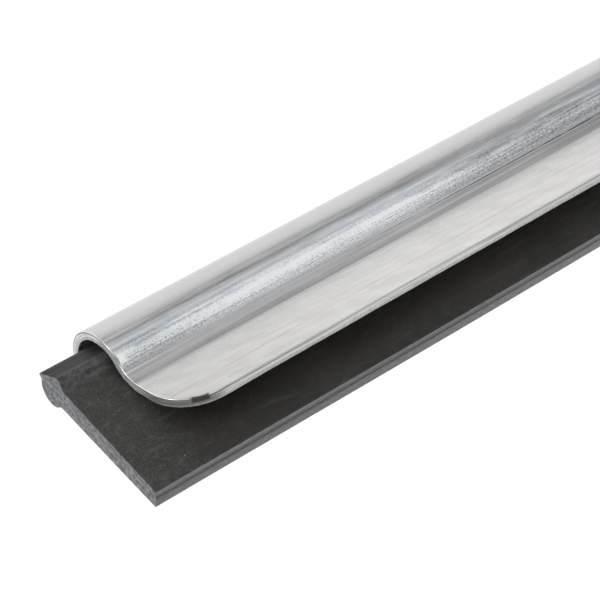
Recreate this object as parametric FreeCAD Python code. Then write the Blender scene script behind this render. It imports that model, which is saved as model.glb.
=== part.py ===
"""Door sweep: a roll-formed steel holder that grips a beaded rubber blade.

All sizes are in millimetres.  +X runs along the door, +Y points at the door and +Z is up.  The origin
lies on the face that bears on the door, at mid-length, on the line of the fixing holes.

A section is drawn with two lengths: `out`, the distance in front of the door's face, so that y = -out,
and `rise`, the height above the tip of the blade.
"""
import FreeCAD, Part
import math
import os

# Overall lengths
BLADE_LENGTH = 914.4
BLADE_OVERHANG = 8.7
HOLDER_LENGTH = BLADE_LENGTH - 2 * BLADE_OVERHANG

# Steel holder: its bend radii are at the middle of the sheet
SHEET = 1.4
LEG_EDGE_RISE = 8.0
LEG_TOP_RISE = 31.15
REAR_BEND_RADIUS = 1.55
CROWN_RADIUS = 8.1
SHOULDER_RADIUS = 4.3
SHOULDER_TURN = 35.0
THROAT_RUN = 0.8
THROAT_RADIUS = 4.2
FLOOR_RADIUS = 14.0
FLOOR_TURN = 8.0
FLARE_RADIUS = 2.7
FLANGE_FLARE = 21.0
FLANGE_WIDTH = 11.6
CORNER_RADIUS = 7.5

# Rubber blade: a slight taper, with a rounded bulge behind its neck and a nose in front
TIP_BACK_OUT = 3.7
TIP_FRONT_OUT = 7.1
NECK_BACK_OUT = 3.35
NECK_FRONT_OUT = 7.4
NECK_RISE = 23.0
BULGE_CENTRE = (4.25, 26.5)
BULGE_RADIUS = 2.55
BULGE_FILLET = 1.2
NOSE_CENTRE = (8.05, 24.75)
NOSE_RADIUS = 0.85
NOSE_FILLET = 1.0
BEAD_SHELF_OUT = 5.2
BEAD_PEAK = (5.8, 29.6)

# Flexing lip: it turns about a line in the middle of the blade, below the holder
FLEX_RISE = 7.0
FLEX_RANGE = 45.0
FLEX_SPARE = 3.0
ROOT_GAP = 0.1

# Fixings: a screw passes the access hole and the blade's slot, and its head seats on the back leg
FIXING_RISE = 18.0
FIXING_PITCH = 203.2
FIXING_COUNT = 4
FIXING_HOLE_RADIUS = 2.0
ACCESS_HOLE_RADIUS = 4.0
SLOT_LENGTH = 24.0
SLOT_WIDTH = 8.0

# How far a cutter runs past the material
CUTTER_SPARE = 1.0


# ---------------------------------------------------------------- drawing a section

def point(place, x=0.0):
    """A section's (out, rise) as a point of the part."""
    out, rise = place
    return FreeCAD.Vector(x, -out, rise - FIXING_RISE)


def polar(centre, radius, angle):
    """The place at a radius and an angle in degrees, counted from `out` towards `rise`."""
    turn = math.radians(angle)
    return (centre[0] + radius * math.cos(turn), centre[1] + radius * math.sin(turn))


def angle_to(start, end):
    return math.degrees(math.atan2(end[1] - start[1], end[0] - start[0]))


def line(start, end):
    return Part.makeLine(point(start), point(end))


def polyline(*places):
    return [line(start, end) for start, end in zip(places, places[1:])]


def arc(centre, radius, start_angle, end_angle):
    angles = (start_angle, (start_angle + end_angle) / 2, end_angle)
    return Part.Arc(*[point(polar(centre, radius, angle)) for angle in angles]).toShape()


def extrude(edges, length):
    """A prism of the closed section that the edges make, centred on mid-length."""
    face = Part.Face(Part.Wire(Part.__sortEdges__(edges)))
    prism = face.extrude(FreeCAD.Vector(length, 0, 0))
    prism.translate(FreeCAD.Vector(-length / 2, 0, 0))
    return prism


def cylinder_out(x, rise, radius, out_from, out_to):
    """A round bar that points away from the door."""
    start = point((out_from, rise), x)
    return Part.makeCylinder(radius, out_to - out_from, start, FreeCAD.Vector(0, -1, 0))


def block_out(low_x, high_x, low_rise, high_rise, out_from, out_to):
    """A square-cornered block between two distances from the door."""
    corner = point((out_to, low_rise), low_x)
    return Part.makeBox(high_x - low_x, out_to - out_from, high_rise - low_rise, corner)


def fixing_places():
    first = -FIXING_PITCH * (FIXING_COUNT - 1) / 2
    return [first + index * FIXING_PITCH for index in range(FIXING_COUNT)]


# ---------------------------------------------------------------- steel holder

# The bent sheet from the back leg's edge to the front flange's edge.  Each step is a straight run, then
# a bend: its radius, and its turn in degrees, which is negative where the sheet bends back outwards.
HOLDER_STEPS = [
    (LEG_TOP_RISE - LEG_EDGE_RISE, REAR_BEND_RADIUS, 90.0),
    (0.0, CROWN_RADIUS, 90.0),
    (0.0, SHOULDER_RADIUS, SHOULDER_TURN),
    (THROAT_RUN, THROAT_RADIUS, -SHOULDER_TURN),
    (0.0, FLOOR_RADIUS, -FLOOR_TURN),
    (0.0, FLARE_RADIUS, FLOOR_TURN - FLANGE_FLARE),
    (FLANGE_WIDTH, 0.0, 0.0),
]


def sheet_edge(place, heading):
    """The two corners of the sheet across its thickness."""
    return [polar(place, SHEET / 2, heading + side) for side in (90, -90)]


def holder_section():
    """The edges of the bent sheet's section, and the middle of the flange's edge."""
    place = (SHEET / 2, LEG_EDGE_RISE)
    heading = 90.0
    edges = [line(*sheet_edge(place, heading))]
    for run, radius, turn in HOLDER_STEPS:
        if run:
            finish = polar(place, run, heading)
            sides = zip(sheet_edge(place, heading), sheet_edge(finish, heading))
            edges += [line(start, end) for start, end in sides]
            place = finish
        if turn:
            inward = -90.0 if turn > 0 else 90.0
            centre = polar(place, radius, heading + inward)
            start_angle = heading - inward
            for side_radius in (radius - SHEET / 2, radius + SHEET / 2):
                edges.append(arc(centre, side_radius, start_angle, start_angle - turn))
            place = polar(centre, radius, start_angle - turn)
            heading -= turn
    edges.append(line(*sheet_edge(place, heading)))
    return edges, place


def corner_waste(side, edge_rise, out_from, out_to):
    """What a rounded lower corner removes; side is -1 or 1 along the holder."""
    end_x = side * HOLDER_LENGTH / 2
    centre_x = end_x - side * CORNER_RADIUS
    centre_rise = edge_rise + CORNER_RADIUS
    low_x, high_x = sorted((centre_x, end_x + side * CUTTER_SPARE))
    block = block_out(low_x, high_x, edge_rise - CUTTER_SPARE, centre_rise, out_from, out_to)
    return block.cut(cylinder_out(centre_x, centre_rise, CORNER_RADIUS, out_from, out_to))


def steel_holder():
    edges, flange_edge = holder_section()
    holder = extrude(edges, HOLDER_LENGTH)
    depth = -holder.BoundBox.YMin
    behind_leg = -CUTTER_SPARE
    before_crown = depth + CUTTER_SPARE
    flange_edge_rise = flange_edge[1] - SHEET / 2 * math.sin(math.radians(FLANGE_FLARE))
    middle = depth / 2
    for x in fixing_places():
        holder = holder.cut(cylinder_out(x, FIXING_RISE, FIXING_HOLE_RADIUS, behind_leg, middle))
        holder = holder.cut(cylinder_out(x, FIXING_RISE, ACCESS_HOLE_RADIUS, middle, before_crown))
    for side in (-1, 1):
        holder = holder.cut(corner_waste(side, LEG_EDGE_RISE, behind_leg, middle))
        holder = holder.cut(corner_waste(side, flange_edge_rise, middle, before_crown))
    return holder


# ---------------------------------------------------------------- rubber blade

def blade_back(rise):
    """How far out the tapering blade's back face is at a height."""
    return TIP_BACK_OUT + (NECK_BACK_OUT - TIP_BACK_OUT) * rise / NECK_RISE


def blade_front(rise):
    return TIP_FRONT_OUT + (NECK_FRONT_OUT - TIP_FRONT_OUT) * rise / NECK_RISE


def flex_centre():
    return ((blade_back(FLEX_RISE) + blade_front(FLEX_RISE)) / 2, FLEX_RISE)


def root_radius():
    return (blade_front(FLEX_RISE) - blade_back(FLEX_RISE)) / 2


def fillet_centre(out, centre, radius, fillet):
    """The centre of a fillet below a round: it touches the round and the upright face at `out`."""
    outward = 1 if out > BEAD_PEAK[0] else -1
    fillet_out = out + outward * fillet
    drop = math.sqrt((radius + fillet) ** 2 - (fillet_out - centre[0]) ** 2)
    return (fillet_out, centre[1] - drop)


def bead_back():
    """The edges from the blade's back face round the bulge to the shelf under the peak."""
    fillet = fillet_centre(NECK_BACK_OUT, BULGE_CENTRE, BULGE_RADIUS, BULGE_FILLET)
    meeting = angle_to(fillet, BULGE_CENTRE)
    return [
        arc(fillet, BULGE_FILLET, 0, meeting),
        arc(BULGE_CENTRE, BULGE_RADIUS, meeting + 180, 90),
    ], polar(fillet, BULGE_FILLET, 0)


def bead_front():
    """The edges from the blade's front face round the nose to the end of the slope to the peak."""
    fillet = fillet_centre(NECK_FRONT_OUT, NOSE_CENTRE, NOSE_RADIUS, NOSE_FILLET)
    meeting = angle_to(fillet, NOSE_CENTRE)
    reach = math.dist(NOSE_CENTRE, BEAD_PEAK)
    touch = angle_to(NOSE_CENTRE, BEAD_PEAK) - math.degrees(math.acos(NOSE_RADIUS / reach))
    return [
        arc(fillet, NOSE_FILLET, 180, meeting),
        arc(NOSE_CENTRE, NOSE_RADIUS, meeting - 180, touch),
        line(polar(NOSE_CENTRE, NOSE_RADIUS, touch), BEAD_PEAK),
    ], polar(fillet, NOSE_FILLET, 180)


def slot_through(x):
    """The waste of a long slot with round ends, through the blade."""
    half_run = (SLOT_LENGTH - SLOT_WIDTH) / 2
    out_from, out_to = NECK_BACK_OUT - CUTTER_SPARE, NECK_FRONT_OUT + CUTTER_SPARE
    low_rise, high_rise = FIXING_RISE - SLOT_WIDTH / 2, FIXING_RISE + SLOT_WIDTH / 2
    waste = block_out(x - half_run, x + half_run, low_rise, high_rise, out_from, out_to)
    for end in (x - half_run, x + half_run):
        waste = waste.fuse(cylinder_out(end, FIXING_RISE, SLOT_WIDTH / 2, out_from, out_to))
    return waste


def rubber_body():
    """The bead and the blade down to the seat in which the lip's root turns."""
    seat_radius = root_radius() + ROOT_GAP
    seat_open = FLEX_RANGE + FLEX_SPARE
    cheek_rise = FLEX_RISE + root_radius() * math.tan(math.radians(seat_open))
    back_edges, back_neck = bead_back()
    front_edges, front_neck = bead_front()
    shelf_start = polar(BULGE_CENTRE, BULGE_RADIUS, 90)
    centre = flex_centre()
    edges = back_edges + front_edges
    edges += polyline(shelf_start, (BEAD_SHELF_OUT, shelf_start[1]), BEAD_PEAK)
    edges.append(arc(centre, seat_radius, seat_open, 180 - seat_open))
    cheeks = [(seat_open, blade_front, front_neck), (180 - seat_open, blade_back, back_neck)]
    for angle, face, neck in cheeks:
        edges += polyline(polar(centre, seat_radius, angle), (face(FLEX_RISE), cheek_rise), neck)
    body = extrude(edges, BLADE_LENGTH)
    for x in fixing_places():
        body = body.cut(slot_through(x))
    return body


def rubber_lip():
    """The free lip, with a round root that turns in the body's seat."""
    front = (blade_front(FLEX_RISE), FLEX_RISE)
    back = (blade_back(FLEX_RISE), FLEX_RISE)
    edges = polyline(back, (TIP_BACK_OUT, 0), (TIP_FRONT_OUT, 0), front)
    edges.append(arc(flex_centre(), root_radius(), 0, 180))
    return extrude(edges, BLADE_LENGTH)


def save(shape, node):
    """Write one sub-part, and print what it measures."""
    box = shape.BoundBox
    print(node, "valid" if shape.isValid() else "INVALID", len(shape.Solids), "solid",
          f"{shape.Volume / 1000:.1f} cm3",
          f"y {box.YMin:.2f} to {box.YMax:.2f}, z {box.ZMin:.2f} to {box.ZMax:.2f}")
    shape.exportStep("parts/" + node + ".step")


os.makedirs("parts", exist_ok=True)
save(steel_holder(), "steel_holder")
save(rubber_body(), "rubber_body")
save(rubber_lip(), "rubber_lip")
print("flex centre", point(flex_centre()))
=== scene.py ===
"""Looks of the door sweep: a roll-formed, zinc-coated holder and the rubber blade that it grips.

Sections are drawn in millimetres, as (out, rise): `out` is the distance in front of the door's face and
`rise` the height above the blade's tip.  Meshes are made in metres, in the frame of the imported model.
"""

import math

import bpy
import numpy as np
from mathutils import Matrix, Vector, noise


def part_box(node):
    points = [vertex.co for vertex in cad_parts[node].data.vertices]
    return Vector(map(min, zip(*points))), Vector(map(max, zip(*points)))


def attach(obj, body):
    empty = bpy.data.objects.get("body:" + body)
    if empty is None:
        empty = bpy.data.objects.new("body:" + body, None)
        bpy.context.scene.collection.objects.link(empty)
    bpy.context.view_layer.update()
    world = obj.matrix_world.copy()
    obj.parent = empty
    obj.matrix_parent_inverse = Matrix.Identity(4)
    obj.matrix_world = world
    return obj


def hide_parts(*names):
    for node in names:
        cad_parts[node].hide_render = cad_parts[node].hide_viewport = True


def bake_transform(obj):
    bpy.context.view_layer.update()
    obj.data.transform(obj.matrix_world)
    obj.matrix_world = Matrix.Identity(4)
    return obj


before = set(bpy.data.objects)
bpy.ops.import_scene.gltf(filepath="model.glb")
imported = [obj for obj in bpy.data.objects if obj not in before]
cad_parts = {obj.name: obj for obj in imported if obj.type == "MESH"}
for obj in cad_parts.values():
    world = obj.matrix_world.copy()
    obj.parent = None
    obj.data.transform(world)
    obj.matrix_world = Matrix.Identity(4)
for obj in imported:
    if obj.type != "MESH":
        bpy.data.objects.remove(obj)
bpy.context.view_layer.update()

MM = 0.001
HOLDER_LOW, HOLDER_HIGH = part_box("steel_holder")
BLADE_LOW, BLADE_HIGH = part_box("rubber_lip")
TIP_Z = BLADE_LOW.z / MM

# ---------------------------------------------------------------- sizes of the steel holder, mm

HOLDER_HALF = HOLDER_HIGH.x / MM
SHEET = 1.4
LEG_EDGE_RISE = 8.0
LEG_RUN = 23.15
CORNER = 7.5                # radius of the lower corners, seen square on to the door
FLANGE_FLARE = 21.0
FLANGE_WIDTH = 11.6

# Each step is a straight run, a bend's radius at mid-sheet and its turn in degrees
HOLDER_STEPS = [
    (LEG_RUN, 1.55, 90.0),
    (0.0, 8.1, 90.0),
    (0.0, 4.3, 35.0),
    (0.8, 4.2, -35.0),
    (0.0, 14.0, -8.0),
    (0.0, 2.7, 8.0 - FLANGE_FLARE),
    (FLANGE_WIDTH, 0.0, 0.0),
]

SHEAR_ROUND = 0.20          # the shear rolls the outer edge over this far
ROLL_ANGLES = [15, 30, 45, 60, 75, 90]          # degrees, for the rows of the rolled edge
COATED_ROWS = 3             # this many of those rows keep their coat
SHOULDER_COATED_ROWS = 1    # and this many where the shear dragged most
SHOULDER_REACH = 1.6        # how far that holds, in half-widths of the first pull
PULLS = [(41.0, 1.0, 2.4), (53.5, 3.8, 1.4)]    # where the shear drags more: place, half-width and share
BURR_ROUND = 0.1
BURR_RAGGED = 0.1
MID_ROUND = 0.3             # how far in a rounded edge is halfway round, as a share of its radius
RIPPLE_START = 46.0         # the flange ripples from here on across the strip
RIPPLE = 0.042
BEND_STEP = 3.0             # degrees between rows round a bend
RUN_STEP = 1.2
COLUMN_STEP = 2.5
CORNER_STEPS = 10

# ---------------------------------------------------------------- sizes of the rubber blade, mm

BLADE_HALF = BLADE_HIGH.x / MM
TIP_BACK, TIP_FRONT = 3.7, 7.1
NECK_BACK, NECK_FRONT = 3.35, 7.4
NECK_RISE = 23.0
BULGE, BULGE_RADIUS, BULGE_FILLET = (4.25, 26.5), 2.55, 1.2
NOSE, NOSE_RADIUS, NOSE_FILLET = (8.05, 24.75), 0.85, 1.0
SHELF_OUT = 5.2
PEAK = (5.8, 29.6)
TIP_GROOVE = 0.63           # the groove along the tip, as a share of the way from back to front
TIP_GROOVE_DEPTH = 0.14
PEAK_FLAT = (0.12, -0.03)   # from the peak to where the front slope starts
CUT_ROUND = 0.06
CUT_ROUGH = 0.03
LIP_WAVE = 0.16
LIP_WAVE_TOP = 18.0         # the lip is straight above this rise
FLEX_START_RISE, FLEX_END_RISE = 10.5, 3.5
HEAD_STEPS = (6, 14, 3, 2)  # points on a fillet, a bead, the shelf and the slope to the peak
NECK_ROWS = 14
BLADE_COLUMN_STEP = 4.0

# ---------------------------------------------------------------- fixings, mm

FIXING_RISE = -TIP_Z
FIXING_PLACES = [-304.8, -101.6, 101.6, 304.8]
FIXING_RADIUS = 2.0
ACCESS_RADIUS = 4.0
SLOT_LENGTH, SLOT_WIDTH = 24.0, 8.0


# ---------------------------------------------------------------- meshes

def new_piece(name, points, faces, face_materials, materials):
    """A mesh object from points in millimetres."""
    mesh = bpy.data.meshes.new(name)
    mesh.from_pydata((np.asarray(points) * MM).tolist(), [], faces)
    mesh.polygons.foreach_set("material_index", face_materials)
    for material in materials:
        mesh.materials.append(material)
    piece = bpy.data.objects.new(name, mesh)
    bpy.context.scene.collection.objects.link(piece)
    return piece


def round_off(piece, corner_degrees):
    """Shade the piece smooth, apart from corners that turn more than this."""
    mesh = piece.data
    mesh.polygons.foreach_set("use_smooth", [True] * len(mesh.polygons))
    mesh.set_sharp_from_angle(angle=math.radians(corner_degrees))


def cut_away(piece, cutters):
    """Take the cutters' space out of the piece, and remove the cutters."""
    for cutter in cutters:
        modifier = piece.modifiers.new("cut", "BOOLEAN")
        modifier.operation = "DIFFERENCE"
        modifier.solver = "EXACT"
        modifier.object = cutter
    bpy.context.view_layer.update()
    shown = piece.evaluated_get(bpy.context.evaluated_depsgraph_get())
    mesh = bpy.data.meshes.new_from_object(shown)
    piece.modifiers.clear()
    piece.data = mesh
    for cutter in cutters:
        bpy.data.objects.remove(cutter)


def bar_cutter(outline, out_from, out_to, material_index):
    """A closed bar that runs straight out from the door, from an outline of (x, rise)."""
    count = len(outline)
    points = [(x, -out, rise + TIP_Z) for out in (out_from, out_to) for x, rise in outline]
    faces = [(k, (k + 1) % count, count + (k + 1) % count, count + k) for k in range(count)]
    faces += [tuple(reversed(range(count))), tuple(range(count, 2 * count))]
    return new_piece("cutter", points, faces, [material_index] * len(faces), [])


def round_outline(x, rise, radius, half_run=0.0, steps=48):
    """A circle, or a slot with round ends where half_run isn't 0."""
    outline = []
    for k in range(steps):
        angle = 2 * math.pi * (k + 0.5) / steps
        shift = half_run if math.cos(angle) > 0 else -half_run
        outline.append((x + shift + radius * math.cos(angle), rise + radius * math.sin(angle)))
    return outline


def grid_faces(rows, columns, first=0, flip=False):
    faces = []
    for i in range(rows - 1):
        for j in range(columns - 1):
            a = first + i * columns + j
            face = (a, a + 1, a + columns + 1, a + columns)
            faces.append(tuple(reversed(face)) if flip else face)
    return faces


def grid_rim(rows, columns):
    """The indices round the edge of a grid, in order."""
    rim = list(range(columns))
    rim += [i * columns + columns - 1 for i in range(1, rows)]
    rim += [(rows - 1) * columns + j for j in range(columns - 2, -1, -1)]
    rim += [i * columns for i in range(rows - 2, 0, -1)]
    return rim


def band_faces(low, high):
    """Quads between two closed rings of indices."""
    count = len(low)
    return [(low[k], high[k], high[(k + 1) % count], low[(k + 1) % count]) for k in range(count)]


# ---------------------------------------------------------------- the bent strip

def strip_segments():
    """(start, length, place, heading, radius, turn) along the middle of the sheet, angles in radians."""
    segments = []
    travelled = 0.0
    place = np.array([SHEET / 2, LEG_EDGE_RISE])
    heading = math.pi / 2
    for run, radius, degrees in HOLDER_STEPS:
        if run:
            segments.append((travelled, run, place, heading, 0.0, 0.0))
            place = place + run * np.array([math.cos(heading), math.sin(heading)])
            travelled += run
        if degrees:
            turn = math.radians(degrees)
            side = math.copysign(1.0, turn)
            length = radius * abs(turn)
            segments.append((travelled, length, place, heading, radius, turn))
            inward = heading - side * math.pi / 2
            centre = place + radius * np.array([math.cos(inward), math.sin(inward)])
            heading -= turn
            outward = heading + side * math.pi / 2
            place = centre + radius * np.array([math.cos(outward), math.sin(outward)])
            travelled += length
    return segments, travelled


SEGMENTS, STRIP_WIDTH = strip_segments()
FLANGE_CORNER = CORNER / math.cos(math.radians(FLANGE_FLARE))


def fold(across, offset):
    """Where points of the flat strip land: their out and rise, `offset` above the middle of the sheet."""
    out, rise = np.zeros_like(across), np.zeros_like(across)
    for start, length, place, heading, radius, turn in SEGMENTS:
        inside = (across >= start - 1e-6) & (across <= start + length + 1e-6)
        travel = across[inside] - start
        if turn:
            side = math.copysign(1.0, turn)
            inward = heading - side * math.pi / 2
            middle_out = place[0] + radius * math.cos(inward)
            middle_rise = place[1] + radius * math.sin(inward)
            normal = heading - side * travel / radius + math.pi / 2
            reach = offset[inside] + side * radius
        else:
            middle_out = place[0] + travel * math.cos(heading)
            middle_rise = place[1] + travel * math.sin(heading)
            normal = heading + math.pi / 2
            reach = offset[inside]
        out[inside] = middle_out + reach * np.cos(normal)
        rise[inside] = middle_rise + reach * np.sin(normal)
    return out, rise


def plain_rows():
    """Distances across the strip between its corner zones, close together round the bends."""
    last = STRIP_WIDTH - FLANGE_CORNER
    rows = []
    for start, length, _, _, radius, turn in SEGMENTS:
        step = math.radians(BEND_STEP) * radius if turn else RUN_STEP
        low, high = max(start, CORNER), min(start + length, last)
        count = max(2, math.ceil((high - low) / step))
        rows += list(np.linspace(low, high, count, endpoint=False))
    return rows[1:]


def shear_pull(across):
    """How far the shear drags the outer face over its edge: most across the shoulder, and at the corner."""
    more = sum(share * np.exp(-((across - place) / half) ** 2) for place, half, share in PULLS)
    return SHEAR_ROUND * (1 + more)


def strip_grid(inset, columns, rolled=False):
    """x and across for each row and column of the flat strip, its outline drawn in by `inset`.

    Where the edge is rolled over, the ends draw in further wherever the shear dragged more.
    """
    angles = np.linspace(0, math.pi / 2, CORNER_STEPS)
    low = CORNER - (CORNER - inset) * np.cos(angles)
    high = STRIP_WIDTH - FLANGE_CORNER + (FLANGE_CORNER - inset) * np.cos(angles)
    if rolled:
        pull = shear_pull(high) / SHEAR_ROUND
        high -= inset * (pull - 1) * np.cos(angles)
    middle = plain_rows()
    across = np.concatenate([low, middle, high[::-1]])
    shares = np.concatenate([np.sin(angles), np.ones(len(middle)), np.sin(angles)[::-1]])
    end_inset = inset * (shear_pull(across) / SHEAR_ROUND if rolled else 1)
    half = HOLDER_HALF - CORNER + (CORNER - end_inset) * shares
    return np.outer(half, columns), np.outer(across, np.ones(len(columns)))


def column_shares(half, step):
    """Places from -1 to 1 along a half-length, a little closer together near both ends."""
    count = int(2 * half / step)
    even = np.linspace(-1, 1, count + 1)
    return even + 0.12 * np.sin(math.pi * even) / math.pi


def sheet_ripple(x, across):
    """How far the flange strays from flat: long waves, most at its free edge."""
    free = np.clip((across - RIPPLE_START) / (STRIP_WIDTH - RIPPLE_START), 0, 1)
    long_wave = np.sin(x / 31 + 0.7) + 0.6 * np.sin(x / 17.3 + across / 9)
    return RIPPLE * free * long_wave


def burr(x, across):
    """The ragged inner edge that the shear leaves, as a share of its roundness."""
    return np.array([noise.noise(Vector((a * 0.9, b * 1.6, 3.0))) for a, b in zip(x, across)])


def holder_mesh(materials):
    """The strip with both faces and the sheared edge between them."""
    columns = column_shares(HOLDER_HALF, COLUMN_STEP)
    rounds = np.radians(ROLL_ANGLES)
    rings = [(SHEAR_ROUND * (1 - math.sin(a)), 1 - math.cos(a), 0.0) for a in rounds]
    rolled_rings = len(rings)
    rings.append((0.0, 0.0, SHEET - BURR_ROUND))
    rings.append((MID_ROUND * BURR_ROUND, 0.0, SHEET - MID_ROUND * BURR_ROUND))
    outer_x, outer_across = strip_grid(SHEAR_ROUND, columns, rolled=True)
    inner_x, inner_across = strip_grid(BURR_ROUND, columns)
    rows, count = outer_x.shape
    rim = grid_rim(rows, count)
    flat = [(outer_x.ravel(), outer_across.ravel(), np.full(rows * count, SHEET / 2))]
    for place, (inset, pull, drop) in enumerate(rings):
        grid = strip_grid(inset, columns, place < rolled_rings)
        x, across = (values.ravel()[rim] for values in grid)
        ragged = BURR_RAGGED * burr(x, across) if place > rolled_rings else 0.0
        flat.append((x, across, SHEET / 2 - drop - pull * shear_pull(across) + ragged))
    flat.append((inner_x.ravel(), inner_across.ravel(), np.full(rows * count, -SHEET / 2)))
    x, across, offset = (np.concatenate(parts) for parts in zip(*flat))
    out, rise = fold(across, offset + sheet_ripple(x, across))
    points = np.column_stack([x, -out, rise + TIP_Z])

    faces = grid_faces(rows, count)
    kinds = [0] * len(faces)
    shoulder, half_width, _ = PULLS[0]
    at_shoulder = np.abs(outer_across.ravel()[rim] - shoulder) < SHOULDER_REACH * half_width
    coated_rows = np.where(at_shoulder, SHOULDER_COATED_ROWS, COATED_ROWS)
    ring = rim
    first = rows * count
    for place in range(len(rings) + 1):
        after = list(range(first, first + len(rim))) if place < len(rings) else [first + k for k in rim]
        band = band_faces(ring, after)
        faces += band
        kinds += [0 if place < coated else 1 for coated in coated_rows]
        ring = after
        first += len(rim) if place < len(rings) else 0
    inner = grid_faces(rows, count, first, flip=True)
    return new_piece("steel_holder_strip", points, faces + inner, kinds + [0] * len(inner), materials)


def unfold(out, rise):
    """The reverse of fold: the nearest distance across the strip, and the offset from mid-sheet there."""
    best = np.full_like(out, np.inf)
    found, offset = np.zeros_like(out), np.zeros_like(out)
    for start, length, place, heading, radius, turn in SEGMENTS:
        side = math.copysign(1.0, turn)
        inward = heading - side * math.pi / 2
        centre = place + radius * np.array([math.cos(inward), math.sin(inward)])
        ahead = np.array([math.cos(heading), math.sin(heading)])
        if turn:
            bearing = np.arctan2(side * (rise - centre[1]), side * (out - centre[0]))
            swept = side * (heading + math.pi / 2 - bearing)
            swept = (swept + math.pi) % (2 * math.pi) - math.pi
            travel = radius * np.clip(swept, 0, abs(turn))
        else:
            travel = np.clip((out - place[0]) * ahead[0] + (rise - place[1]) * ahead[1], 0, length)
        near_out, near_rise = fold(start + travel, np.zeros_like(travel))
        front_out, front_rise = fold(start + travel, np.ones_like(travel))
        gap = np.hypot(out - near_out, rise - near_rise)
        nearer = gap < best - 1e-9
        best[nearer] = gap[nearer]
        found[nearer] = (start + travel)[nearer]
        depth = (out - near_out) * (front_out - near_out) + (rise - near_rise) * (front_rise - near_rise)
        offset[nearer] = depth[nearer]
    return found, offset


def edge_distance(x, across):
    """How far points of the strip lie inside the outline of the flange."""
    from_end, from_edge = HOLDER_HALF - np.abs(x), STRIP_WIDTH - across
    corner_end, corner_edge = CORNER - from_end, CORNER - from_edge * CORNER / FLANGE_CORNER
    in_corner = (corner_end > 0) & (corner_edge > 0)
    return np.where(in_corner, CORNER - np.hypot(corner_end, corner_edge), np.minimum(from_end, from_edge))


def add_strip_places(piece):
    """Store where each point lies in the strip, for the materials: all in millimetres, apart from roll.

    `roll` runs from 0 on the flat outer face to 1 where its edge has rolled over into the sheared face.
    """
    points = np.array([v.co for v in piece.data.vertices]) / MM
    across, depth = unfold(-points[:, 1], points[:, 2] - TIP_Z)
    depth -= sheet_ripple(points[:, 0], across)
    roll = (SHEET / 2 - depth) / shear_pull(across)
    inside = edge_distance(points[:, 0], across)
    for name, values in (("across", across), ("depth", depth), ("roll", roll), ("inside", inside)):
        attribute = piece.data.attributes.new(name, "FLOAT", "POINT")
        attribute.data.foreach_set("value", values.astype(np.float32))


def make_holder():
    materials = [zinc_material(), sheared_material()]
    piece = holder_mesh(materials)
    depth = -HOLDER_LOW.y / MM
    cutters = []
    for x in FIXING_PLACES:
        hole = round_outline(x, FIXING_RISE, FIXING_RADIUS)
        access = round_outline(x, FIXING_RISE, ACCESS_RADIUS)
        cutters.append(bar_cutter(hole, -1.0, depth / 2, 1))
        cutters.append(bar_cutter(access, depth / 2, depth + 1, 1))
    cut_away(piece, cutters)
    add_strip_places(piece)
    round_off(piece, 40)
    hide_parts("steel_holder")
    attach(piece, "holder")


# ---------------------------------------------------------------- the rubber blade

def arc_places(centre, radius, start, end, count):
    """Places round an arc after its start; the angles in degrees count from `out` towards `rise`."""
    angles = np.radians(np.linspace(start, end, count + 1)[1:])
    return [(centre[0] + radius * math.cos(a), centre[1] + radius * math.sin(a)) for a in angles]


def line_places(start, end, count):
    return [tuple(place) for place in np.linspace(start, end, count + 1)[1:]]


def fillet_centre(out, centre, radius, fillet, outward):
    fillet_out = out + outward * fillet
    drop = math.sqrt((radius + fillet) ** 2 - (fillet_out - centre[0]) ** 2)
    return (fillet_out, centre[1] - drop)


def angle_to(start, end):
    return math.degrees(math.atan2(end[1] - start[1], end[0] - start[0]))


def bead_back(counts):
    fillet = fillet_centre(NECK_BACK, BULGE, BULGE_RADIUS, BULGE_FILLET, -1)
    meeting = angle_to(fillet, BULGE)
    places = arc_places(fillet, BULGE_FILLET, 0, meeting, counts[0])
    places += arc_places(BULGE, BULGE_RADIUS, meeting + 180, 90, counts[1])
    shelf = (SHELF_OUT, BULGE[1] + BULGE_RADIUS)
    places += line_places(places[-1], shelf, counts[2])
    return places + line_places(shelf, PEAK, counts[3]), fillet[1]


def bead_front(counts):
    fillet = fillet_centre(NECK_FRONT, NOSE, NOSE_RADIUS, NOSE_FILLET, 1)
    meeting = angle_to(fillet, NOSE)
    touch = angle_to(NOSE, PEAK) - math.degrees(math.acos(NOSE_RADIUS / math.dist(NOSE, PEAK)))
    places = arc_places(fillet, NOSE_FILLET, 180, meeting, counts[0])
    places += arc_places(NOSE, NOSE_RADIUS, meeting - 180, touch, counts[1])
    top = (PEAK[0] + PEAK_FLAT[0], PEAK[1] + PEAK_FLAT[1])
    return places + line_places(places[-1], top, counts[2] + counts[3]), fillet[1]


def blade_rises():
    """Heights of the rows up to where the blade stops bending, close together in the bend."""
    low = [0.0, 0.4 * CUT_ROUND, CUT_ROUND, 0.5]
    steps = np.arange(1.0, FLEX_END_RISE, 0.8)
    bend = np.arange(FLEX_END_RISE, FLEX_START_RISE, 0.5)
    return np.array(low + list(steps) + list(bend))


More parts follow.
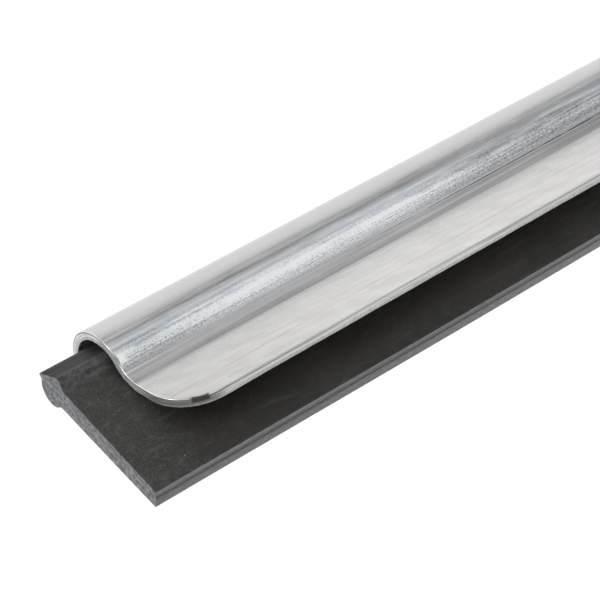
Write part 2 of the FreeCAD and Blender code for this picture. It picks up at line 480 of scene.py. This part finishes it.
def section_grid(inset):
    """The blade's section as rows from back to front, its outline drawn in by `inset`."""
    back_head, back_neck = bead_back(HEAD_STEPS)
    front_head, front_neck = bead_front(HEAD_STEPS)
    rises = blade_rises()
    back_rises = np.concatenate([rises, np.linspace(FLEX_START_RISE, back_neck, NECK_ROWS)])
    front_rises = np.concatenate([rises, np.linspace(FLEX_START_RISE, front_neck, NECK_ROWS)])
    back = [(TIP_BACK + (NECK_BACK - TIP_BACK) * r / NECK_RISE, r) for r in back_rises] + back_head
    front = [(TIP_FRONT + (NECK_FRONT - TIP_FRONT) * r / NECK_RISE, r) for r in front_rises] + front_head
    back, front = np.array(back), np.array(front)
    for row, draw_in in enumerate((CUT_ROUND, MID_ROUND * CUT_ROUND)):
        back[row, 0] += draw_in
        front[row, 0] -= draw_in
    groove = [TIP_GROOVE - .03, TIP_GROOVE, TIP_GROOVE + .03]
    shares = np.array([0, .1, .22, .35, .48, .57] + groove + [.72, .82, .92, 1])
    grid = back[:, None] + (front - back)[:, None] * shares[None, :, None]
    grid[0, shares == TIP_GROOVE, 1] += TIP_GROOVE_DEPTH
    grid[1, shares == TIP_GROOVE, 1] += 0.8 * TIP_GROOVE_DEPTH
    if inset:
        rim = grid_rim(*grid.shape[:2])
        flat = grid.reshape(-1, 2)
        loop = flat[rim]
        along = np.roll(loop, -1, axis=0) - np.roll(loop, 1, axis=0)
        along /= np.linalg.norm(along, axis=1)[:, None]
        inward = np.column_stack([-along[:, 1], along[:, 0]])
        centre_side = ((loop.mean(axis=0) - loop) * inward).sum()
        flat[rim] = loop + math.copysign(inset, centre_side) * inward
    return grid


def lip_wave(x, rise):
    """The free lip's slight waves, which die away at the holder."""
    free = np.clip(1 - rise / LIP_WAVE_TOP, 0, 1) ** 2
    return LIP_WAVE * free * (np.sin(x / 43.0 + 1.0) + 0.5 * np.sin(x / 19.0))


def blade_mesh(materials):
    """The whole insert as one closed mesh: rings along it, and a cut face at each end."""
    columns = column_shares(BLADE_HALF - CUT_ROUND, BLADE_COLUMN_STEP) * (BLADE_HALF - CUT_ROUND)
    full, drawn = section_grid(0.0), section_grid(CUT_ROUND)
    rows, count = full.shape[:2]
    rim = grid_rim(rows, count)
    outline = full.reshape(-1, 2)[rim]
    corner = drawn.reshape(-1, 2)[rim]
    halfway = outline + MID_ROUND * (corner - outline)
    end_x = BLADE_HALF - MID_ROUND * CUT_ROUND
    rings = [(-end_x, halfway)]
    rings += [(x, outline) for x in columns]
    rings.append((end_x, halfway))
    points, faces, kinds = [], [], []
    for x, shape in rings:
        points += [(x, out, rise) for out, rise in shape]
    total = len(rim)
    for k in range(len(rings) - 1):
        low, high = (list(range(m * total, (m + 1) * total)) for m in (k, k + 1))
        band = band_faces(low, high)
        faces += band
        kinds += [1 if k in (0, len(rings) - 2) else 0] * len(band)
    for side, ring in ((-1, 0), (1, len(rings) - 1)):
        first = len(points)
        points += [(side * BLADE_HALF, out, rise) for out, rise in drawn.reshape(-1, 2)]
        cap = grid_faces(rows, count, first, flip=side > 0)
        edge = list(range(ring * total, (ring + 1) * total))
        inner = [first + k for k in rim]
        band = band_faces(inner, edge) if side < 0 else band_faces(edge, inner)
        faces += cap + band
        kinds += [1] * (len(cap) + len(band))
    points = np.array(points)
    x, out, rise = points.T
    rough = np.array([noise.noise(Vector((a * .7, b * 1.9, c * 1.1))) for a, b, c in points])
    at_end = np.abs(x) > BLADE_HALF - CUT_ROUND
    x = x - np.sign(x) * np.where(at_end, CUT_ROUGH + CUT_ROUGH * rough, 0)
    out = out + lip_wave(x, rise)
    return new_piece("rubber_blade", np.column_stack([x, -out, rise + TIP_Z]), faces, kinds, materials)


def make_blade():
    piece = blade_mesh([rubber_material(), cut_rubber_material()])
    half_run = (SLOT_LENGTH - SLOT_WIDTH) / 2
    cutters = []
    for x in FIXING_PLACES:
        slot = round_outline(x, FIXING_RISE, SLOT_WIDTH / 2, half_run)
        cutters.append(bar_cutter(slot, NECK_BACK - 1, NECK_FRONT + 1, 1))
    cut_away(piece, cutters)
    round_off(piece, 50)
    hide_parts("rubber_body", "rubber_lip")
    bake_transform(piece)


# ---------------------------------------------------------------- materials

class Nodes:
    """A short way to write a material's nodes."""

    def __init__(self, name):
        self.material = bpy.data.materials.new(name)
        self.material.use_nodes = True
        self.tree = self.material.node_tree
        self.shader = self.tree.nodes["Principled BSDF"]

    def add(self, kind, inputs=None, **settings):
        node = self.tree.nodes.new("ShaderNode" + kind)
        for name, value in settings.items():
            setattr(node, name, value)
        for name, value in (inputs or {}).items():
            self.put(node.inputs[name], value)
        return node

    def put(self, socket, value):
        """Link an output to a socket, or set a constant."""
        if isinstance(value, bpy.types.NodeSocket):
            self.tree.links.new(value, socket)
        else:
            socket.default_value = value

    def math(self, operation, *values):
        node = self.add("Math", operation=operation)
        for socket, value in zip(node.inputs, values):
            self.put(socket, value)
        return node.outputs[0]

    def remap(self, value, from_low, from_high, to_low=0.0, to_high=1.0, smooth=True):
        kind = "SMOOTHSTEP" if smooth else "LINEAR"
        inputs = {"Value": value, "From Min": from_low, "From Max": from_high,
                  "To Min": to_low, "To Max": to_high}
        return self.add("MapRange", inputs, interpolation_type=kind).outputs["Result"]

    def mix(self, share, a, b):
        node = self.add("Mix", data_type="RGBA")
        self.put(node.inputs["Factor"], share)
        self.put(node.inputs[6], a)
        self.put(node.inputs[7], b)
        return node.outputs[2]

    def brighten(self, colour, factor):
        node = self.add("VectorMath", {0: colour}, operation="SCALE")
        self.put(node.inputs["Scale"], factor)
        return node.outputs[0]

    def along(self):
        """The distance along the part from its middle, in millimetres."""
        x = self.add("SeparateXYZ", {"Vector": self.add("TexCoord").outputs["Object"]}).outputs["X"]
        return self.math("DIVIDE", x, MM)

    def from_end(self, half):
        """The distance from the nearer end of a length that is centred on the origin, in millimetres."""
        return self.math("SUBTRACT", half, self.math("ABSOLUTE", self.along()))

    def attribute(self, name):
        return self.add("Attribute", attribute_name=name).outputs["Fac"]

    def scaled(self, vector, scale):
        return self.add("Mapping", {"Vector": vector, "Scale": scale}).outputs["Vector"]

    def coordinates(self, scale):
        """Object coordinates, stretched: the scale is in features per millimetre along x, y and z."""
        place = self.add("TexCoord").outputs["Object"]
        return self.scaled(place, [s / MM for s in scale])

    def strip_coordinates(self, along, across, turn=0.0):
        """Places on the flat strip, turned by some degrees and then stretched in the same way."""
        flat = self.add("CombineXYZ", {"X": self.along(), "Y": self.attribute("across")})
        rotation = (0, 0, math.radians(turn))
        turned = self.add("Mapping", {"Vector": flat.outputs["Vector"], "Rotation": rotation})
        return self.scaled(turned.outputs["Vector"], (along, across, 1.0))

    def noise_on(self, vector, detail=3.0, roughness=0.5, distortion=0.0):
        inputs = {"Vector": vector, "Scale": 1.0, "Detail": detail, "Roughness": roughness,
                  "Distortion": distortion}
        return self.add("TexNoise", inputs).outputs["Fac"]

    def noise(self, scale, **settings):
        return self.noise_on(self.coordinates(scale), **settings)

    def strip_noise(self, along, across, turn=0.0, **settings):
        return self.noise_on(self.strip_coordinates(along, across, turn), **settings)

    def cells_on(self, vector):
        """Random cells: the distance from each cell's centre, and a random number for each cell."""
        cells = self.add("TexVoronoi", {"Vector": vector, "Scale": 1.0})
        chance = self.add("SeparateColor", {"Color": cells.outputs["Color"]}).outputs["Red"]
        return cells.outputs["Distance"], chance

    def ramp(self, value, low, high, stops):
        """A colour that changes with a value, through stops of (value, colour)."""
        share = self.remap(value, low, high, smooth=False)
        node = self.add("ValToRGB", {"Fac": share})
        fill_ramp(node.color_ramp, low, high, stops)
        return node.outputs["Color"]

    def band(self, value, low, high, soft):
        """1 between two limits, with soft edges."""
        rise = self.remap(value, low - soft, low + soft)
        fall = self.remap(value, high - soft, high + soft, 1.0, 0.0)
        return self.math("MULTIPLY", rise, fall)

    def bump(self, height, distance, strength=1.0, after=None):
        inputs = {"Height": height, "Distance": distance, "Strength": strength}
        if after is not None:
            inputs["Normal"] = after
        return self.add("Bump", inputs).outputs["Normal"]


def grey(value, warm=0.0, green=0.0):
    """A grey; a positive `warm` leans it to yellow and a negative one to blue, and `green` to green."""
    return (value * (1 + warm), value * (1 + 0.3 * warm + green), value * (1 - warm), 1.0)


def fill_ramp(ramp, low, high, stops):
    while len(ramp.elements) > 1:
        ramp.elements.remove(ramp.elements[-1])
    for count, (value, colour) in enumerate(stops):
        position = (value - low) / (high - low)
        stop = ramp.elements[0] if count == 0 else ramp.elements.new(position)
        stop.position = position
        stop.color = colour


# How bright the zinc is, by the distance across the strip.  The tones were set by comparing renders with
# the photo at even steps, so they hold painted reflections of its studio as well as shades of the coat
COAT_AND_PAINTED_REFLECTION_TONES = [
    (0.0, grey(0.64)),
    (31.0, grey(0.64)),
    (34.0, grey(0.67)),
    (35.5, grey(0.70)),
    (36.8, grey(0.73)),
    (37.1, grey(0.69)),
    (37.5, grey(0.86)),
    (37.95, grey(0.68)),
    (38.2, grey(0.71, -0.01)),
    (38.6, grey(0.92, -0.01, 0.015)),
    (39.2, grey(0.90, -0.02, 0.018)),
    (39.6, grey(0.76, -0.03, 0.018)),
    (40.1, grey(0.90, -0.035, 0.022)),
    (40.6, grey(1.0, -0.035, 0.022)),
    (41.1, grey(0.98, -0.03, 0.018)),
    (41.7, grey(0.86, -0.025, 0.018)),
    (42.4, grey(0.73, -0.015, 0.012)),
    (43.1, grey(0.68, 0.0, 0.004)),
    (43.6, grey(0.78, 0.006)),
    (44.2, grey(0.80, 0.0, -0.003)),
    (44.8, grey(1.0, 0.005, -0.01)),
    (45.4, grey(0.80)),
    (46.0, grey(0.66, 0.0, -0.005)),
    (46.5, grey(0.62, 0.005)),
    (47.0, grey(0.80, 0.012)),
    (47.6, grey(0.83, 0.012)),
    (50.0, grey(0.79, 0.014)),
    (52.0, grey(0.80, 0.016)),
    (60.0, grey(0.80, 0.016)),
]

# Dark lines along the strip, taken for marks of the rolls: distance across it, half-width, darkness
ROLL_MARKS = [(36.85, 0.06, 0.06), (38.0, 0.09, 0.08), (39.45, 0.10, 0.10),
              (48.6, 0.07, 0.06), (54.0, 0.14, 0.17), (55.3, 0.06, 0.06), (57.4, 0.07, 0.05)]
CREASE_ACROSS = 43.55

# Places across the strip: where the coat is strained most and less, and the bends around them
STRAINED, LESS_STRAINED = (41.4, 43.1), (39.4, 41.6)
BENDS, UPPER_BEND = (37.0, 46.3), (36.6, 41.0)

# The painted dark reflection patch lies this far from the near end
PATCH_FROM, PATCH_TO = 3.0, 5.6


def roll_marks(n, across, from_end):
    """How dark the roll marks make the coat; the crease fades where the end of the strip sprang open."""
    crease = n.band(across, CREASE_ACROSS - 0.1, CREASE_ACROSS + 0.1, 0.08)
    ragged = n.remap(n.strip_noise(0.14, 0.0, detail=3), 0.38, 0.55, 0.3, 0.75)
    total = n.math("MULTIPLY", n.math("MULTIPLY", crease, ragged), n.remap(from_end, 30.0, 62.0))
    for place, half_width, darkness in ROLL_MARKS:
        line = n.band(across, place - half_width, place + half_width, 0.07)
        along = n.strip_coordinates(0.045, 0.0)
        shifted = n.add("VectorMath", {0: along, 1: (0, place, 0)}, operation="ADD").outputs[0]
        broken = n.remap(n.noise_on(shifted, detail=2), 0.38, 0.62, 0.1, 1.0)
        total = n.math("MULTIPLY_ADD", line, n.math("MULTIPLY", broken, darkness), total)
    return total


def painted_dark_reflection_patch(n):
    """A small dark patch on the near corner's rolled edge: a painted dark reflection."""
    ragged = n.math("MULTIPLY", n.math("SUBTRACT", n.strip_noise(0.9, 1.6, detail=4), 0.5), 1.4)
    along = n.math("ADD", n.along(), ragged)
    along = n.band(along, PATCH_FROM - HOLDER_HALF, PATCH_TO - HOLDER_HALF, 0.3)
    inside = n.math("ADD", n.attribute("inside"), n.math("MULTIPLY", ragged, 0.25))
    low = n.math("MULTIPLY", n.remap(inside, 0.5, 0.2), n.remap(n.attribute("depth"), -0.3, 0.15))
    return n.math("MULTIPLY", n.math("MULTIPLY", along, low), n.remap(n.attribute("across"), 55.0, 55.5))


def flange_shade(n, flange, drawn, from_end):
    """How much lighter the flange is in places: drawn lines, scratches, hair marks across it and smears,
    and painted shade that darkens it towards both ends.
    """
    scratch = n.strip_noise(0.009, 2.6, detail=1)
    cross_hair = n.strip_noise(3.2, 0.16, turn=16, detail=2)
    smear = n.strip_noise(0.16, 0.5, turn=-12, detail=4, roughness=0.6)
    shade = n.math("MULTIPLY", n.remap(drawn, 0.25, 0.75, -0.035, 0.035, smooth=False), flange)
    marks = [
        n.remap(scratch, 0.63, 0.70, 0.0, -0.12),
        n.remap(cross_hair, 0.64, 0.74, 0.0, 0.09),
        n.remap(smear, 0.3, 0.7, -0.06, 0.06),
        # painted shade: darker towards both ends, standing in for the flange's dimmer reflection there
        n.remap(from_end, 6.0, 48.0, -0.09, 0.0),
    ]
    for mark in marks:
        shade = n.math("MULTIPLY_ADD", mark, flange, shade)
    return shade


def bend_shade(n, across, from_end, strained, shade):
    """Add the streaks and blotches of the bends, and painted shade that darkens them close to an end and
    far from both.
    """
    streaks = n.strip_noise(0.025, 2.8, detail=4, roughness=0.65)
    blotch = n.strip_noise(0.13, 1.1, detail=3, roughness=0.6, distortion=0.4)
    # painted shade far from both ends, standing in for the bends' dimmer reflections there
    far_painted_shade = n.remap(from_end, 50.0, 92.0)
    marks = [
        (n.remap(streaks, 0.3, 0.7, -0.28, 0.28, smooth=False), n.band(across, *BENDS, 0.4)),
        (n.remap(blotch, 0.3, 0.7, -0.12, 0.12), n.band(across, *UPPER_BEND, 0.6)),
        # painted shade: the strained coat darkens close to an end
        (n.remap(from_end, 2.0, 28.0, -0.3, 0.0), strained),
        (n.band(across, 38.4, 45.5, 0.3), n.math("MULTIPLY", far_painted_shade, -0.25)),
        (n.band(across, 39.8, 42.4, 0.4), n.math("MULTIPLY", far_painted_shade, -0.2)),
    ]
    for mark, where in marks:
        shade = n.math("MULTIPLY_ADD", mark, where, shade)
    return shade


def pebble_shade(n, from_centre, chance, grain):
    """How the pebbles of the strained coat glint, with dark cracks between them."""
    cracks = n.remap(from_centre, 0.35, 0.8, 0.08, -0.22)
    # painted glints: a random lightness for each pebble
    glints = n.math("ADD", n.remap(chance, 0.0, 1.0, -0.16, 0.16, smooth=False), cracks)
    return n.math("ADD", n.remap(grain, 0.3, 0.7, -0.16, 0.16), glints)


def painted_end_highlights_and_reflection(n, across, from_end, colour):
    """Painted highlights near the ends, on the rolled edge and on the shoulder, and a painted dark
    reflection on the near corner.
    """
    # painted highlight: the rolled edge is whitened near the ends
    rolled = n.band(n.attribute("roll"), 0.016, 0.6, 0.012)
    rolled = n.math("MULTIPLY", rolled, n.remap(from_end, 8.5, 6.5))
    colour = n.mix(n.math("MULTIPLY", rolled, 0.95), colour, grey(1.0))
    # painted highlight: a white spot on the shoulder close to each end
    painted_shoulder_highlight = n.math("MULTIPLY", n.band(across, 40.4, 41.7, 0.4), n.remap(from_end, 2.4, 0.9))
    colour = n.mix(n.math("MULTIPLY", painted_shoulder_highlight, 0.9), colour, grey(1.0))
    # painted dark reflection on the near corner's rolled edge
    return n.mix(painted_dark_reflection_patch(n), colour, grey(0.10, 0.2))


def zinc_material():
    """Rolled zinc coating: drawn lines along the flange, and a pebbled, cracked coat over tight bends."""
    n = Nodes("zinc_coat")
    wobble = n.math("MULTIPLY", n.math("SUBTRACT", n.strip_noise(0.02, 0.03, detail=2), 0.5), 0.7)
    across = n.math("ADD", n.attribute("across"), wobble)
    from_end = n.from_end(HOLDER_HALF)
    strained = n.band(across, *STRAINED, 0.8)
    strained = n.math("MULTIPLY_ADD", n.band(across, *LESS_STRAINED, 0.5), 0.55, strained)
    flange = n.remap(across, 46.2, 47.2)
    drawn = n.strip_noise(0.012, 1.5, detail=4, roughness=0.55)
    hairlines = n.strip_noise(0.02, 5.5, detail=2)
    bloom = n.strip_noise(0.07, 0.16, detail=4, distortion=0.3)
    from_centre, chance = n.cells_on(n.strip_coordinates(4.8, 6.0))
    grain = n.strip_noise(2.6, 3.4, detail=3, roughness=0.7)

    shade = flange_shade(n, flange, drawn, from_end)
    shade = bend_shade(n, across, from_end, strained, shade)
    shade = n.math("ADD", shade, n.remap(bloom, 0.3, 0.7, -0.03, 0.03))
    shade = n.math("MULTIPLY_ADD", pebble_shade(n, from_centre, chance, grain), strained, shade)
    shade = n.math("SUBTRACT", shade, roll_marks(n, across, from_end))
    colour = n.brighten(n.ramp(across, 0.0, 60.0, COAT_AND_PAINTED_REFLECTION_TONES), n.math("ADD", shade, 1.0))
    n.put(n.shader.inputs["Base Color"], painted_end_highlights_and_reflection(n, across, from_end, colour))
    n.put(n.shader.inputs["Metallic"], 1.0)

    gloss = n.remap(bloom, 0.3, 0.7, 0.25, 0.31)
    gloss = n.math("MULTIPLY_ADD", strained, 0.05, gloss)
    n.put(n.shader.inputs["Roughness"], gloss)

    lines = n.math("MULTIPLY", n.math("ADD", drawn, n.math("MULTIPLY", hairlines, 0.4)), flange)
    relief = n.bump(lines, 0.008 * MM, 0.5)
    pebble = n.math("SUBTRACT", n.math("MULTIPLY", grain, 0.6), from_centre)
    relief = n.bump(n.math("MULTIPLY", pebble, strained), 0.035 * MM, 1.0, after=relief)
    n.put(n.shader.inputs["Normal"], relief)
    return n.material


def rim_shadow(n, depth, from_end):
    """The dark line where the rolled edge turns into the sheared face, darkest near the ends."""
    roll = n.attribute("roll")
    shoulder = n.band(n.attribute("across"), 39.8, 42.2, 0.4)
    shoulder = n.math("MULTIPLY", shoulder, n.band(roll, 0.06, 0.2, 0.03))
    line = n.math("MAXIMUM", n.band(depth, 0.44, 0.58, 0.05), n.band(roll, 0.38, 0.66, 0.06))
    line = n.math("MAXIMUM", line, shoulder)
    return n.math("MULTIPLY", line, n.remap(from_end, 12.0, 7.0, 0.5, 0.85))


def sheared_material():
    """The bare steel of a sheared edge: drawn bright lines near the outer face, torn and dull behind."""
    n = Nodes("sheared_edge")
    from_end = n.from_end(HOLDER_HALF)
    depth = n.attribute("depth")
    grain = n.noise((2.5, 2.5, 2.5), detail=4, roughness=0.65)
    places = n.add("CombineXYZ", {"X": n.math("MULTIPLY", n.attribute("across"), 0.35),
                                  "Y": n.math("MULTIPLY", depth, 4.5),
                                  "Z": n.math("MULTIPLY", from_end, 0.05)}).outputs["Vector"]
    lines = n.noise_on(places, detail=3, roughness=0.6)
    tear = n.noise((0.5, 1.2, 1.2), detail=3)
    torn = n.remap(n.math("MULTIPLY_ADD", tear, 0.7, depth), 0.3, 0.05)
    colour = n.mix(n.remap(lines, 0.34, 0.66), grey(0.40, 0.01, 0.01), grey(0.84, 0.01, 0.01))
    torn_colour = n.mix(n.remap(grain, 0.3, 0.7), grey(0.44, 0.01, 0.01), grey(0.66))
    colour = n.mix(torn, colour, torn_colour)
    colour = n.mix(rim_shadow(n, depth, from_end), colour, grey(0.09))
    # painted light: the sheared face is lightened across the bends, against the shade and dark reflection
    # of the rubber beside it
    bent = n.band(n.attribute("across"), 39.0, 46.5, 1.0)
    colour = n.mix(bent, colour, n.mix(0.15, colour, grey(1.0)))
    # painted dark reflection: the sheared face darkens at the flange's corners near the ends, towards its
    # inner side
    corner = n.remap(n.attribute("across"), 47.5, 51.5)
    corner = n.math("MULTIPLY", corner, n.remap(from_end, 9.5, 5.5))
    corner = n.math("MULTIPLY", corner, n.remap(depth, -0.6, -0.2, 0.3, 0.75))
    colour = n.mix(corner, colour, grey(0.08, 0.03))
    # painted dark reflection on the near corner's rolled edge
    colour = n.mix(painted_dark_reflection_patch(n), colour, grey(0.03, 0.2))
    n.put(n.shader.inputs["Base Color"], colour)
    n.put(n.shader.inputs["Metallic"], 0.35)
    n.put(n.shader.inputs["Roughness"], n.remap(torn, 0.0, 1.0, 0.38, 0.55))
    n.put(n.shader.inputs["Normal"], n.bump(grain, 0.04 * MM, 0.6))
    return n.material


# How light the cut tip is, by the share of the way from its back edge to its front edge: darkest along the
# groove, and lightest at the front edge, a painted highlight there
TIP_TONES = [
    (0.0, grey(0.15)),
    (0.40, grey(0.15)),
    (0.55, grey(0.075)),
    (0.62, grey(0.08)),
    (0.78, grey(0.115)),
    (0.93, grey(0.17)),
    (1.0, grey(0.19)),
]


def rubber_marks(n, grain, near_end_share):
    """Black rubber with cloudy patches, and with grain and dust that are stronger near the ends, scuffs and
    specks.
    """
    cloud = n.noise((0.07, 0.12, 0.12), detail=5, roughness=0.65)
    specks = n.noise((1.7, 2.0, 2.0), detail=2)
    scuffs = n.noise((0.10, 0.8, 0.7), detail=5, roughness=0.65, distortion=0.6)
    dust = n.noise((0.5, 0.7, 0.7), detail=5, roughness=0.75)
    colour = n.mix(n.remap(cloud, 0.3, 0.7), grey(0.018, 0.13), grey(0.033, 0.12))
    grained = n.math("MULTIPLY", n.remap(grain, 0.35, 0.75, 0.1, 0.8), near_end_share)
    colour = n.mix(grained, colour, grey(0.078, 0.01))
    dusted = n.math("MULTIPLY", n.remap(dust, 0.50, 0.72), near_end_share)
    colour = n.mix(dusted, colour, grey(0.085, 0.01))
    colour = n.mix(n.remap(scuffs, 0.57, 0.72, 0, 0.4), colour, grey(0.10, -0.02))
    return n.mix(n.remap(specks, 0.72, 0.78, 0, 0.7), colour, grey(0.22)), dust


def cut_tip_colour(n, out, from_end):
    """The ashen cut along the tip, worn lighter away from the ends."""
    ash = n.noise((0.8, 3.0, 3.0), detail=4, roughness=0.6)
    wander = n.math("MULTIPLY", n.math("SUBTRACT", n.noise((0.03, 0.4, 0.4)), 0.5), 0.12)
    share = n.math("ADD", n.remap(out, TIP_BACK, TIP_FRONT, smooth=False), wander)
    worn = n.remap(from_end, 10.0, 130.0, 1.0, 1.3)
    worn = n.math("MULTIPLY", n.remap(ash, 0.3, 0.7, 0.74, 1.28), worn)
    return n.brighten(n.ramp(share, 0.0, 1.0, TIP_TONES), worn)


def rubber_material():
    """Extruded rubber: matt black with faint drawn lines, dust and scuffs, and a greyer, cut tip."""
    n = Nodes("rubber_skin")
    place = n.add("SeparateXYZ", {"Vector": n.add("TexCoord").outputs["Object"]})
    rise = n.math("SUBTRACT", n.math("DIVIDE", place.outputs["Z"], MM), TIP_Z)
    out = n.math("DIVIDE", place.outputs["Y"], -MM)
    lines = n.noise((0.01, 1.8, 1.8), detail=4, roughness=0.6)
    grain = n.noise((2.2, 2.6, 2.6), detail=3, roughness=0.7)
    from_end = n.from_end(BLADE_HALF)
    # lighter grain and dust near the ends
    near_end_share = n.remap(from_end, 5.0, 15.0, 1.0, 0.3)
    colour, dust = rubber_marks(n, grain, near_end_share)
    # lighter along the nose's crest, in dusty streaks: dust, and a painted highlight on the crest
    crest = n.band(rise, 23.2, 26.0, 0.6)
    crest = n.math("MULTIPLY", crest, n.remap(dust, 0.42, 0.60, 0.0, 0.8))
    colour = n.mix(crest, colour, grey(0.11))
    # painted shadow: the rubber darkens under the flange, most towards it and away from the ends
    painted_flange_shadow = n.remap(rise, 1.0, 12.0, 0.35, 1.0)
    painted_flange_shadow = n.math("MULTIPLY", painted_flange_shadow, n.remap(from_end, 5.0, 15.0))
    colour = n.mix(n.math("MULTIPLY", painted_flange_shadow, 0.4), colour, grey(0.010, 0.2))
    head = n.remap(rise, 24.9, 25.8)
    colour = n.mix(n.math("MULTIPLY", head, 0.6), colour, grey(0.012))
    # where the painted shadow and the darker head are, the rubber also reflects less
    darkened_places = n.math("MAXIMUM", painted_flange_shadow, head)
    colour = n.mix(n.remap(rise, 0.10, 0.03), colour, cut_tip_colour(n, out, from_end))
    n.put(n.shader.inputs["Base Color"], colour)
    n.put(n.shader.inputs["Roughness"], n.remap(lines, 0.3, 0.7, 0.5, 0.62))
    n.put(n.shader.inputs["Specular IOR Level"], n.remap(darkened_places, 0.0, 1.0, 0.45, 0.27))
    drawn = n.bump(lines, 0.03 * MM, 0.3)
    n.put(n.shader.inputs["Normal"], n.bump(grain, 0.03 * MM, 0.4, after=drawn))
    return n.material


def cut_rubber_material():
    """A knife-cut rubber face: greyer and torn, with dark flecks."""
    n = Nodes("rubber_cut")
    grain = n.noise((0.9, 1.5, 1.5), detail=5, roughness=0.7)
    flecks = n.noise((0.5, 1.3, 0.8), detail=3)
    colour = n.mix(n.remap(grain, 0.36, 0.66), grey(0.075, -0.04, -0.01), grey(0.26, -0.04, -0.01))
    colour = n.mix(n.remap(flecks, 0.60, 0.68, 0, 0.9), colour, grey(0.035))
    n.put(n.shader.inputs["Base Color"], colour)
    n.put(n.shader.inputs["Roughness"], 0.6)
    n.put(n.shader.inputs["Normal"], n.bump(grain, 0.1 * MM, 0.6))
    return n.material


def floor_material():
    n = Nodes("studio_floor")
    mottle = n.noise((0.003, 0.003, 0.003))
    n.put(n.shader.inputs["Base Color"], n.mix(mottle, grey(0.90), grey(0.92)))
    n.put(n.shader.inputs["Roughness"], 0.8)
    return n.material


# ---------------------------------------------------------------- studio

FLOOR_Z = -0.6
FLOOR_HALF = 8.0
STUDIO_STRENGTH = 1.02

# How bright the studio is, by the angle round the part's length: 0 is in front and 90 overhead
STUDIO_TONES = [
    (-180, grey(1.0)),
    (-60, grey(0.95)),
    (-20, grey(0.80, -0.02)),
    (8, grey(0.62, -0.03)),
    (26, grey(0.50, -0.03)),
    (38, grey(0.34)),
    (48, grey(0.36, 0.01)),
    (62, grey(0.76)),
    (80, grey(0.92)),
    (105, grey(0.93)),
    (124, grey(1.0)),
    (180, grey(1.0)),
]


def studio_world():
    """A white studio with a dimmer strip in front and above."""
    world = bpy.data.worlds.new("studio")
    bpy.context.scene.world = world
    world.use_nodes = True
    tree = world.node_tree
    direction = tree.nodes.new("ShaderNodeTexCoord").outputs["Generated"]
    split = tree.nodes.new("ShaderNodeSeparateXYZ")
    front = tree.nodes.new("ShaderNodeMath")
    front.operation = "MULTIPLY"
    front.inputs[1].default_value = -1.0
    angle = tree.nodes.new("ShaderNodeMath")
    angle.operation = "ARCTAN2"
    share = tree.nodes.new("ShaderNodeMapRange")
    share.inputs["From Min"].default_value = -math.pi
    share.inputs["From Max"].default_value = math.pi
    ramp = tree.nodes.new("ShaderNodeValToRGB")
    ramp.color_ramp.interpolation = "EASE"
    fill_ramp(ramp.color_ramp, -180, 180, STUDIO_TONES)
    links = tree.links
    links.new(direction, split.inputs[0])
    links.new(split.outputs["Y"], front.inputs[0])
    links.new(split.outputs["Z"], angle.inputs[0])
    links.new(front.outputs[0], angle.inputs[1])
    links.new(angle.outputs[0], share.inputs["Value"])
    links.new(share.outputs["Result"], ramp.inputs["Fac"])
    links.new(ramp.outputs["Color"], tree.nodes["Background"].inputs["Color"])
    tree.nodes["Background"].inputs["Strength"].default_value = STUDIO_STRENGTH


def studio_floor():
    mesh = bpy.data.meshes.new("studio_floor")
    corners = [(-1, -1), (1, -1), (1, 1), (-1, 1)]
    mesh.from_pydata([(x * FLOOR_HALF, y * FLOOR_HALF, FLOOR_Z) for x, y in corners], [], [(0, 1, 2, 3)])
    mesh.materials.append(floor_material())
    floor = bpy.data.objects.new("studio_floor", mesh)
    bpy.context.scene.collection.objects.link(floor)


def area_light(name, place, target, size, power):
    light = bpy.data.lights.new(name, "AREA")
    light.shape = "DISK"
    light.size = size
    light.energy = power
    lamp = bpy.data.objects.new(name, light)
    lamp.location = place
    lamp.rotation_euler = (Vector(target) - Vector(place)).to_track_quat("-Z", "Y").to_euler()
    lamp.visible_camera = False
    bpy.context.scene.collection.objects.link(lamp)


# ---------------------------------------------------------------- camera

LENS, SENSOR = 123.6, 36.0   # millimetres
HEADING, PITCH, ROLL = 57.23, 30.08, 46.82     # degrees: from +X towards +Y, upwards, clockwise
CAMERA_OFFSET = Vector((-0.1106, -0.2388, -0.1448))


def make_camera():
    """The camera looks up along the part from below its near end, offset from that end's lower corner."""
    heading, pitch, roll = (math.radians(a) for a in (HEADING, PITCH, ROLL))
    ahead = math.cos(pitch)
    forward = Vector((ahead * math.cos(heading), ahead * math.sin(heading), math.sin(pitch)))
    level = Vector((math.sin(heading), -math.cos(heading), 0))
    up = level.cross(forward)
    right = math.cos(roll) * level - math.sin(roll) * up
    turned_up = right.cross(forward)
    camera = bpy.data.objects.new("camera", bpy.data.cameras.new("camera"))
    camera.data.lens = LENS
    camera.data.sensor_width = SENSOR
    camera.data.clip_start = 0.01
    near_corner = Vector((BLADE_LOW.x, -TIP_BACK * MM, BLADE_LOW.z))
    camera.matrix_world = Matrix.Translation(near_corner + CAMERA_OFFSET) @ Matrix(
        (right, turned_up, -forward)).transposed().to_4x4()
    bpy.context.scene.collection.objects.link(camera)
    bpy.context.scene.camera = camera


# ---------------------------------------------------------------- the scene

make_holder()
make_blade()
studio_world()
studio_floor()
area_light("left_softbox", place=(-1.45, -0.70, 0.45), target=(-0.45, -0.01, 0), size=0.6, power=4.0)
make_camera()
bpy.context.scene.view_settings.view_transform = "Standard"
